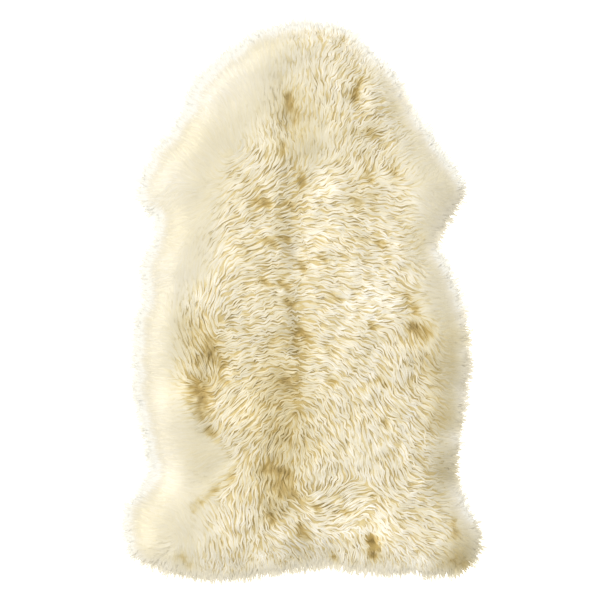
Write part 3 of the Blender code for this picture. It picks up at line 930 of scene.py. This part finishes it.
def strands_mesh(name, ways, widths, tints, flatness):
    """One mesh of closed, three-sided strands. Ways are (strand, ring, xyz), and their last is the tip.

    The normals are eased towards those of the fleece as a whole, most in smooth wool, because light
    goes round and through a bundle of fine fibres and doesn't show it as a hard prism. Those of the
    side that lies on the fleece are their mirror image.
    """
    count, rings = ways.shape[0], ways.shape[1] - 1
    ahead = np.concatenate([ways[:, 1:], ways[:, -1:]], axis=1)
    behind = np.concatenate([ways[:, :1], ways[:, :-1]], axis=1)
    along = ahead - behind
    along /= np.linalg.norm(along, axis=2, keepdims=True)
    across = np.cross(along, np.array([0.0, 0.0, 1.0]))
    across /= np.linalg.norm(across, axis=2, keepdims=True) + TINY
    over = np.cross(across, along)
    slope = slope_of(top_grid, ways)
    near_rim = 1 - smooth_step(read_grid(inside_grid, ways) / RIM_UPRIGHT)[..., None]
    whole = np.concatenate([-FLEECE_SLOPE * (1 - near_rim) * slope, np.ones_like(slope[..., :1])], axis=-1)
    whole /= np.linalg.norm(whole, axis=2, keepdims=True)
    crisp = read_grid(crisp_grid, ways)[..., None]
    up = over * rising(SMOOTH_LEAN, crisp) + whole * (1.0 - CRISP_SHARE * crisp)
    up /= np.linalg.norm(up, axis=2, keepdims=True)
    corners, facing = [], []
    for aside, raised, lean in ((0, flatness, 0.0), (-1, -SKIRT, -NORMAL_LEAN), (1, -SKIRT, NORMAL_LEAN)):
        side = across * aside + over * (raised * rising(SMOOTH_CREST, crisp))
        corners.append(ways[:, :rings] + side[:, :rings] * widths[:, :rings, None] / 2)
        lean = lean * rising(SMOOTH_LEAN, crisp[:, :rings])
        facing.append(up[:, :rings] * np.cos(lean) + across[:, :rings] * np.sin(lean))
    body = np.stack(corners, axis=2).reshape(count, rings * 3, 3)
    least = np.tile([2 * LEAST_HEIGHT, LEAST_HEIGHT, LEAST_HEIGHT], rings)
    body[..., 2] = np.maximum(body[..., 2], least)
    verts = np.concatenate([body, ways[:, -1:]], axis=1)
    normals = np.concatenate([np.stack(facing, axis=2).reshape(count, rings * 3, 3), up[:, -1:]], axis=1)
    middles = np.concatenate([up[:, :rings].repeat(3, axis=1), up[:, -1:]], axis=1)
    mirrored = normals - 2 * (normals * middles).sum(axis=2, keepdims=True) * middles

    faces = strand_faces(rings)
    each = [len(face[0]) for face in faces]
    of_corners = np.concatenate([face[0] for face in faces])
    on_map = np.concatenate([face[1] for face in faces])
    lower = np.repeat([face[2] for face in faces], each)
    loops = np.arange(count)[:, None] * verts.shape[1] + of_corners
    sizes = np.tile(each, count)
    mesh = bpy.data.meshes.new(name)
    mesh.vertices.add(count * verts.shape[1])
    mesh.vertices.foreach_set("co", verts.astype(np.float32).ravel())
    mesh.loops.add(loops.size)
    mesh.loops.foreach_set("vertex_index", loops.astype(np.int32).ravel())
    mesh.polygons.add(len(sizes))
    mesh.polygons.foreach_set("loop_start", (np.cumsum(sizes) - sizes).astype(np.int32))
    mesh.polygons.foreach_set("loop_total", sizes.astype(np.int32))
    strand_map = np.tile(on_map, (count, 1)).astype(np.float32)
    mesh.uv_layers.new(name="strand").data.foreach_set("uv", strand_map.ravel())
    give_tint(mesh, np.concatenate([np.repeat(tints[:, :rings], 3, axis=1), tints[:, -1:]], axis=1))
    cells_wide = math.ceil(math.sqrt(count))
    cells = np.stack([np.arange(count) % cells_wide, np.arange(count) // cells_wide], axis=-1)
    laid = (cells[:, None] + CELL_MARGIN + (1 - 2 * CELL_MARGIN) * on_map) / cells_wide
    mesh.uv_layers.new(name="OFBake").data.foreach_set("uv", laid.astype(np.float32).ravel())
    mesh.update(calc_edges=True)
    mesh.shade_smooth()
    turned_down = np.where(lower[None, :, None], mirrored[:, of_corners], normals[:, of_corners])
    mesh.normals_split_custom_set(turned_down.reshape(-1, 3).astype(np.float32))
    return mesh


ROOT_WIDTH, TIP_WIDTH = 0.25, 0.08  # of a strand, as shares of its full width
FULL_WIDTH_AT = 0.3  # of its length from the root
NARROWING_AT = 0.5


def strand_widths(count, rings, widest, chance):
    """Each strand's width at its rings: drawn in at the root, full past the middle, fine at the end."""
    share = np.linspace(0, 1, rings + 1)[:-1]
    narrowing = smooth_step((share - NARROWING_AT) / (1 - NARROWING_AT))
    profile = rising(ROOT_WIDTH, smooth_step(share / FULL_WIDTH_AT)) * (1 - (1 - TIP_WIDTH) * narrowing)
    return chance.uniform(*widest, count)[:, None] * profile[None, :]


STREAKS_ROUND = 8  # bundles of fibres round a strand; single ones are too fine to show
STREAKS_ALONG = 2  # breaks in each of them
STREAKS_APART = 300  # carries each strand's streaks to another part of the noise


def combed_wool():
    """Clean long wool: bright and soft at the tips, golden towards the root, matt with a faint sheen."""
    wool, shader = new_material("combed wool", {
        "IOR": 1.55,
        "Specular IOR Level": 0.2,
        "Sheen Weight": 0.3,
        "Sheen Roughness": 0.6,
    })
    strand = add_node(wool, "UVMap", uv_map="strand")
    tint = add_node(wool, "Attribute", attribute_name="tint")
    parts = add_node(wool, "SeparateColor", [(tint.outputs["Color"], "Color")])
    place = add_node(wool, "SeparateXYZ", [(strand.outputs["UV"], "Vector")])
    # Painted shade: in crisp wool a strand's sides, from its crest out, turn darker and more golden, where
    # the creases between strands lie in shade.
    side = add_node(wool, "Math", [(place.outputs["X"], 0)], operation="PINGPONG", sockets={1: 0.5})
    edge = add_node(wool, "MapRange", [(side.outputs["Value"], "Value")], interpolation_type="SMOOTHSTEP",
                    sockets={"From Min": 0.18, "From Max": 0.36, "To Max": 0.95})
    painted_edge_shade = add_node(wool, "Math", [(edge.outputs["Result"], 0), (parts.outputs["Blue"], 1)],
                     operation="MULTIPLY")
    golden = add_node(wool, "Math", [(parts.outputs["Green"], 0), (painted_edge_shade.outputs["Value"], 1)])
    drawn = add_node(wool, "VectorMath", [(strand.outputs["UV"], 0)], operation="MULTIPLY",
                     sockets={1: (STREAKS_ROUND, STREAKS_ALONG, 0)})
    apart = add_node(wool, "VectorMath", [(tint.outputs["Alpha"], 0)], operation="MULTIPLY",
                     sockets={1: (0, 0, STREAKS_APART)})
    here = add_node(wool, "VectorMath", [(drawn.outputs["Vector"], 0), (apart.outputs["Vector"], 1)])
    fibre = add_node(wool, "TexNoise", [(here.outputs["Vector"], "Vector")],
                     sockets={"Scale": 1.0, "Detail": 3, "Roughness": 0.6})
    uneven = add_node(wool, "MapRange", [(fibre.outputs["Fac"], "Value")],
                      sockets={"From Min": 0.25, "From Max": 0.75, "To Min": 0.16, "To Max": -0.16})
    streaked = add_node(wool, "Math", [(golden.outputs["Value"], 0), (uneven.outputs["Result"], 1)])
    coloured = wool_colour(wool, streaked.outputs["Value"], parts.outputs["Red"])
    rough = add_node(wool, "MapRange", [(fibre.outputs["Fac"], "Value")],
                     sockets={"To Min": 0.6, "To Max": 0.9})
    relief = add_node(wool, "Bump", [(fibre.outputs["Fac"], "Height")],
                      sockets={"Strength": 0.3, "Distance": 0.4 * MM})
    wool.node_tree.links.new(coloured, shader.inputs["Base Color"])
    wool.node_tree.links.new(rough.outputs["Result"], shader.inputs["Roughness"])
    wool.node_tree.links.new(relief.outputs["Normal"], shader.inputs["Normal"])
    return wool


wool_finish = combed_wool()


def add_wool(name, ways, widths, tints, flatness):
    """One piece of the fleece, from its strands."""
    piece = mesh_piece(name, strands_mesh(name, ways, widths, tints, flatness))
    piece.data.materials.append(wool_finish)
    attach(piece, "root")
    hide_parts("pelt")
    return piece


# The one place that no wool bridges: from x, y to x, y and half its width in millimetres.
OPEN_PIT = (112, -373, 115, -390, 6.5)
TRIAL_STEPS = 18
TAKEN_STEP = 1 * MM
LEAST_LENGTH = 20 * MM
HIDDEN_SHARE = 0.25  # of a strand, at its root, which may lie under others


def choose_strands(roots, lengths, turns, gap, overreach, chance):
    """Lays strands one by one, each as far as it keeps that gap from those before it. Returns the
    numbers of those that come out long enough, the share of its length at which each of them ends,
    and the ways of all the strands in plan."""
    plan = draw_out(roots, lengths, turns, np.linspace(0, 1, TRIAL_STEPS + 1), chance)
    outside = read_grid(inside_grid, plan) < -overreach[:, None]
    outside |= np.linalg.norm(away_from(plan, OPEN_PIT[:4]), axis=-1) < OPEN_PIT[4] * MM
    cells = np.round((plan - grid_corner) / TAKEN_STEP).astype(int)
    taken = np.zeros((np.array(inside_grid.shape) * GRID_STEP / TAKEN_STEP).astype(int), dtype=bool)
    near = np.arange(-int(gap / TAKEN_STEP), int(gap / TAKEN_STEP) + 1)
    disc = np.array([(i, k) for i in near for k in near if math.hypot(i, k) * TAKEN_STEP < gap])
    hidden = round(TRIAL_STEPS * HIDDEN_SHARE)
    kept, ends = [], []
    for strand, way in enumerate(cells):
        blocked = taken[way[:, 0], way[:, 1]] | outside[strand]
        blocked[:hidden] = False
        end = int(blocked.argmax()) if blocked.any() else TRIAL_STEPS + 1
        if (end - 1) * lengths[strand] / TRIAL_STEPS < LEAST_LENGTH:
            continue
        kept.append(strand)
        ends.append((end - 1) / TRIAL_STEPS)
        marks = (way[hidden // 2:end, None] + disc[None]).reshape(-1, 2)
        taken[marks[:, 0], marks[:, 1]] = True
    return np.array(kept), np.array(ends), plan


def follow(plan, ends, rings):
    """Each way in plan cut at its end, as a share of its length, and laid out in even rings."""
    at = np.linspace(0, 1, rings + 1)[None, :] * (ends * (plan.shape[1] - 1))[:, None]
    low = np.minimum(at.astype(int), plan.shape[1] - 2)
    part = (at - low)[..., None]
    strand = np.arange(len(plan))[:, None]
    return plan[strand, low] * (1 - part) + plan[strand, low + 1] * part


ROOT_GOLD_AND_SHADE = 0.35  # by which crisp wool is more golden and darker at its roots: partly its own, partly painted shade
ROOT_SHARE = 0.35  # of a strand's length, over which its root fades into it, and its tip out of it
SOFT_SHADE = 0.36  # by which smooth wool is darker
MEAN_SHADE = 0.5
SMOOTH_SHADES = 0.3  # of the difference from strand to strand, which smooth wool keeps
APART = 137  # turns the shades of strands into numbers that don't follow them


def tint_of(plan, shade, shares, gold):
    """The tint of strands at their rings, as give_tint keeps it."""
    crisp = read_grid(crisp_grid, plan)
    sure = read_grid(mean_size_grid, plan[:, 0])[:, None]
    rim = 1 - smooth_step(read_grid(inside_grid, plan) / RIM_FADE)
    golden = (PLAIN_GOLD + SOFT_GOLD * (1 - crisp)) * (1 - rim) + gold * crisp
    # Roots are more golden and darker: partly their own wool, partly painted shade where they dip.
    golden = golden + ROOT_GOLD_AND_SHADE * (1 - smooth_step(shares / ROOT_SHARE)) * crisp * sure
    golden = golden + read_grid(golden_grid, plan)
    # Painted light at the rim, where the thin wool would lie in shade.
    light = MEAN_SHADE + (shade[:, None] - MEAN_SHADE) * rising(SMOOTH_SHADES, crisp) + RIM_PAINTED_LIGHT * rim
    light = light + read_grid(light_grid, plan)
    light = light - SOFT_SHADE * (1 - crisp)
    own = np.modf(shade * APART)[0][:, None] * np.ones_like(light)
    return np.stack([light, np.clip(golden, 0, 1), crisp, own], axis=-1)


ROOTS_INSET = 6 * MM  # from the ends of the wool in to the first roots
ROOTS_UNEVENNESS = 0.5  # of the spacing that is tried
OVERREACH = (-12 * MM, 9 * MM)  # of tips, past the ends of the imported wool
WAVE_SCATTER = 0.5  # radians by which neighbours wave out of step
WAVE_SIZES = (0.4, 1.3)  # of one strand's waves, as shares of the usual
SMOOTH_RELIEF = 0.2  # of a layer's level and unevenness, which smooth wool keeps
ROOT_DIP = 2.4 * MM  # by which roots lie lower than the strand
TIP_DIP = 1.2 * MM
SMOOTH_WIDENING = 0.7  # by which strands are wider in smooth wool, so that it closes
LEAST_WAY = 1.0 * MM  # at which the middle of a strand lies on the floor
SHADE_SPREAD = 0.1


def lay_wool(names, seed, gap, tried, lengths, turn, rings, widest, level, unevenness, gold, flatness):
    """Lays one layer of wool over the whole pelt, as pieces with those names from the neck to the tail."""
    chance = np.random.default_rng(seed)
    roots = even_rows(packed_box[0], packed_box[1], tried)
    roots = roots + chance.uniform(-1, 1, roots.shape) * ROOTS_UNEVENNESS * tried
    roots = chance.permutation(roots[read_grid(inside_grid, roots) > ROOTS_INSET])
    lengths = chance.uniform(*lengths, len(roots))
    turns = chance.normal(0, turn, len(roots))
    overreach = chance.uniform(*OVERREACH, len(roots))
    kept, ends, plan = choose_strands(roots, lengths, turns, gap, overreach, chance)
    plan = follow(plan[kept], ends, rings)
    count = len(plan)
    shares = np.linspace(0, 1, rings + 1)
    offsets = chance.normal(0, WAVE_SCATTER, count)[:, None]
    sway, rise = crimp(plan, offsets, chance.uniform(*WAVE_SIZES, count)[:, None])
    plan = plan + sway
    crisp = read_grid(crisp_grid, plan)
    own = level + chance.uniform(-1, 1, count)[:, None] * unevenness
    own = own * rising(SMOOTH_RELIEF, crisp)
    sure = read_grid(mean_size_grid, plan[:, 0])[:, None]
    dip = ROOT_DIP * sure * (1 - smooth_step(shares / ROOT_SHARE))
    dip = dip + TIP_DIP * smooth_step((shares - (1 - ROOT_SHARE)) / ROOT_SHARE) * crisp
    height = np.maximum(read_grid(top_grid, plan) + own - dip + rise, LEAST_WAY)
    ways = np.concatenate([plan, height[..., None]], axis=2)
    from_rim = smooth_step(read_grid(inside_grid, plan[:, :-1]) / RIM_PULL_REACH)
    widening = SMOOTH_WIDENING * (1 - crisp[:, :-1]) * from_rim
    widths = strand_widths(count, rings, widest, chance) * (1 + widening)
    tints = tint_of(plan, chance.normal(MEAN_SHADE, SHADE_SPREAD, count), shares, gold)
    pieces = []
    for name, part in zip(names, np.array_split(np.argsort(-ways[:, 0, 1]), len(names))):
        pieces.append(add_wool(name, ways[part], widths[part], tints[part], flatness))
    return pieces


fleece = lay_wool(
    ("locks_front", "locks_back"),
    seed=21,
    gap=5.2 * MM,  # between the middles of two locks
    tried=3.2 * MM,  # between the roots that are tried for them
    lengths=(40 * MM, 72 * MM),
    turn=math.radians(5),  # by which one lies out of line with the wool
    rings=18,  # round a lock, the last one before its tip
    widest=(5.8 * MM, 7.6 * MM),
    level=-0.6 * MM,  # of its middle, from the fleece's height
    unevenness=0.3 * MM,  # in height
    gold=0.05,  # by which it is more golden, where the wool is crisp
    flatness=0.24,  # the height of its crest, as a share of half its width
)

# ---------------------------------------------------------------------------------------------
# Low locks
# Shorter, golden locks that stay down between the others. They fill the gaps over the underwool.

fleece += lay_wool(
    ("low_locks",),
    seed=24,
    gap=5.4 * MM,
    tried=3.2 * MM,
    lengths=(34 * MM, 60 * MM),
    turn=math.radians(6),
    rings=12,
    widest=(6.5 * MM, 8.5 * MM),
    level=-1.1 * MM,
    unevenness=0.4 * MM,
    gold=0.3,
    flatness=0.24,
)

# ---------------------------------------------------------------------------------------------
# Top wool
# The finer strands that lie over the locks and follow them. They carry the light, cream ends.

fleece += lay_wool(
    ("top_wool_neck", "top_wool_back", "top_wool_loin", "top_wool_rump"),
    seed=22,
    gap=3.0 * MM,
    tried=2.4 * MM,
    lengths=(36 * MM, 62 * MM),
    turn=math.radians(7),
    rings=15,
    widest=(3.2 * MM, 4.6 * MM),
    level=-0.1 * MM,
    unevenness=0.25 * MM,
    gold=0.0,
    flatness=0.24,
)

# ---------------------------------------------------------------------------------------------
# Loose ends
# Fine ends that have come loose from the locks. They lie over the rest, a little out of line with it.

fleece += lay_wool(
    ("loose_ends",),
    seed=23,
    gap=4.6 * MM,
    tried=3.0 * MM,
    lengths=(34 * MM, 60 * MM),
    turn=math.radians(9),
    rings=14,
    widest=(2.0 * MM, 4.4 * MM),
    level=0.4 * MM,
    unevenness=0.4 * MM,
    gold=0.0,
    flatness=0.24,
)

# ---------------------------------------------------------------------------------------------
# Rim wool
# The locks at the edge of the hide, which nothing holds in: they stand out round it in several
# tiers, droop to the floor and end in the soft outline of the rug.

RIM_SPACING = 4.2 * MM
# Its tiers: how deep they lie below the fleece's height, and the least and most reach past the ends of
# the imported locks, in millimetres.
RIM_TIERS = ((0.2, -8, 10), (1.0, -5, 13), (1.9, -1, 16), (2.9, 3, 19), (4.0, 6, 20))
RIM_ROUNDS = 2  # of strands in each tier
RIM_ROOTS = 30 * MM  # from the ends of the wool in to them
RIM_SPREAD = (-4 * MM, 13 * MM)  # outwards, so that they don't start in a line
RIM_UNEVENNESS = 0.6  # millimetres, in height
RIM_ROOT_DIP = 4.0 * MM  # by which these lie deeper
RIM_ROOT_SHARE = 0.4
RIM_CRISP_DIP = 2.0 * MM  # by which all of it does under crisp wool
RIM_WIDTH = (4.0 * MM, 6.5 * MM)
RIM_FLATNESS = 0.4
RIM_TURN = math.radians(10)
RIM_RINGS = 6
RIM_SHADE, RIM_SHADE_SPREAD = 0.6, 0.08
RIM_TIER_PAINTED_LIGHT = 0.1  # painted light: a tier is lighter for each millimetre that it lies deeper, in the shade of those above


def rim_strands():
    """The ways, widths and tints of the rim wool, tier by tier."""
    chance = np.random.default_rng(41)
    foot = walk_round(RIM_ROOTS, RIM_SPACING)
    count = len(foot)
    share = np.linspace(0, 1, RIM_RINGS + 1)
    ways, tints = [], []
    for depth, least, most in RIM_TIERS * RIM_ROUNDS:
        roots = foot + chance.uniform(-0.5, 0.5, foot.shape) * RIM_SPACING
        roots = roots - slope_of(inside_grid, roots) * chance.uniform(*RIM_SPREAD, count)[:, None]
        lengths = read_grid(inside_grid, roots) + chance.uniform(least, most, count) * MM
        plan = draw_out(roots, lengths, chance.normal(0, RIM_TURN, count), share, chance)
        own = (depth + chance.uniform(-RIM_UNEVENNESS, RIM_UNEVENNESS, count))[:, None] * MM
        dip = RIM_ROOT_DIP * (1 - smooth_step(share / RIM_ROOT_SHARE))
        dip = dip + RIM_CRISP_DIP * read_grid(crisp_grid, plan)
        height = np.maximum(read_grid(top_grid, plan) - own - dip, LEAST_WAY)
        ways.append(np.concatenate([plan, height[..., None]], axis=2))
        tint = tint_of(plan, chance.normal(RIM_SHADE, RIM_SHADE_SPREAD, count), share, 0.0)
        # Painted light: deeper tiers are lighter, against the shade of those above.
        tints.append(tint + (RIM_TIER_PAINTED_LIGHT * depth, 0, 0, 0))
    ways, tints = np.concatenate(ways), np.concatenate(tints)
    return ways, strand_widths(len(ways), RIM_RINGS, RIM_WIDTH, chance), tints


fleece.append(add_wool("rim_wool", *rim_strands(), RIM_FLATNESS))

# ---------------------------------------------------------------------------------------------
# Wisps
# Single fine ends of wool that stray beyond the locks round the rim and blur its outline.

WISP_SPACING = 3.8 * MM
WISPS_EACH = 8
WISP_BAND = (2 * MM, 16 * MM)  # inside the ends of the wool, in which they part from the locks
WISP_OVERREACH = (4 * MM, 26 * MM)  # past the ends of the locks
WISP_LEAST = 8 * MM  # of their length
WISP_WIDTH = (0.5 * MM, 1.0 * MM)
WISP_FLATNESS = 0.8
WISP_TURN = math.radians(16)
WISP_RINGS = 3
WISP_LEVEL = (-4.0, -0.5)  # millimetres, from the fleece's height
WISP_LEAST_HEIGHT = 0.8 * MM
WISP_SHADE, WISP_SHADE_SPREAD = 0.7, 0.1
WISP_PAINTED_LIGHT = 0.4  # by which such thin ends are lighter: partly their own paleness, partly painted light


def wisp_strands():
    """The ways, widths and tints of the wisps."""
    chance = np.random.default_rng(51)
    roots = np.repeat(walk_round(WISP_BAND[0], WISP_SPACING), WISPS_EACH, axis=0)
    count = len(roots)
    roots = roots + chance.uniform(-1, 1, roots.shape) * WISP_SPACING
    deeper = chance.uniform(0, WISP_BAND[1] - WISP_BAND[0], count)
    roots = roots + slope_of(inside_grid, roots) * deeper[:, None]
    lengths = np.maximum(read_grid(inside_grid, roots) + chance.uniform(*WISP_OVERREACH, count), WISP_LEAST)
    share = np.linspace(0, 1, WISP_RINGS + 1)
    plan = draw_out(roots, lengths, chance.normal(0, WISP_TURN, count), share, chance)
    own = chance.uniform(*WISP_LEVEL, count) * MM
    height = np.maximum(read_grid(top_grid, plan) + own[:, None], WISP_LEAST_HEIGHT)
    ways = np.concatenate([plan, height[..., None]], axis=2)
    tints = tint_of(plan, chance.normal(WISP_SHADE, WISP_SHADE_SPREAD, count), share, 0.0)
    # Painted light, in part: the thin wisps are made lighter.
    return ways, strand_widths(count, WISP_RINGS, WISP_WIDTH, chance), tints + (WISP_PAINTED_LIGHT, 0, 0, 0)


fleece.append(add_wool("wisps", *wisp_strands(), WISP_FLATNESS))

# ---------------------------------------------------------------------------------------------
# Floor, light and camera
# A white studio floor under even, soft light that is a little stronger from the upper left, and a
# camera that looks straight down on the rug.

FLOOR_SIZE = 8.0
FLOOR_DROP = 0.4 * MM  # keeps the floor clear of the hide
FLOOR_GLOW = 0.7  # keeps it white round the rug, as white paper that is lit from behind
STUDIO_LIGHT = 1.05  # from all round
VIEW_WIDTH = 0.9456  # of the floor, across the picture
VIEW_CENTRE = (-0.0015, 0.0015)
LENS = 100.0
SENSOR = 36.0
WHITE = linear("#ffffff")

made = bmesh.new()
bmesh.ops.create_grid(made, x_segments=1, y_segments=1, size=FLOOR_SIZE / 2)
floor_mesh = bpy.data.meshes.new("floor")
made.to_mesh(floor_mesh)
made.free()
floor = mesh_piece("floor", floor_mesh)
floor.location.z = -FLOOR_DROP
paper, _ = new_material("white paper", {
    "Base Color": WHITE,
    "Roughness": 0.9,
    "Specular IOR Level": 0.1,
    "Emission Color": WHITE,
    "Emission Strength": FLOOR_GLOW,
})
floor.data.materials.append(paper)

world = bpy.data.worlds.new("studio")
world.use_nodes = True
world.node_tree.nodes["Background"].inputs["Color"].default_value = WHITE
world.node_tree.nodes["Background"].inputs["Strength"].default_value = STUDIO_LIGHT
bpy.context.scene.world = world


def soft_box(name, place, size, watts):
    """A square softbox at a place, turned to the rug."""
    light = bpy.data.lights.new(name, "AREA")
    light.size = size
    light.energy = watts
    box = bpy.data.objects.new(name, light)
    box.location = place
    box.rotation_euler = (-Vector(place)).to_track_quat("-Z", "Y").to_euler()
    bpy.context.scene.collection.objects.link(box)


soft_box("key light", place=(-2.4, 1.5, 2.85), size=2.1, watts=84)

camera_data = bpy.data.cameras.new("camera")
camera_data.lens = LENS
camera_data.sensor_width = SENSOR
camera = bpy.data.objects.new("camera", camera_data)
camera.location = (*VIEW_CENTRE, VIEW_WIDTH * LENS / SENSOR)
bpy.context.scene.collection.objects.link(camera)
bpy.context.scene.camera = camera
bpy.context.scene.view_settings.view_transform = "Standard"
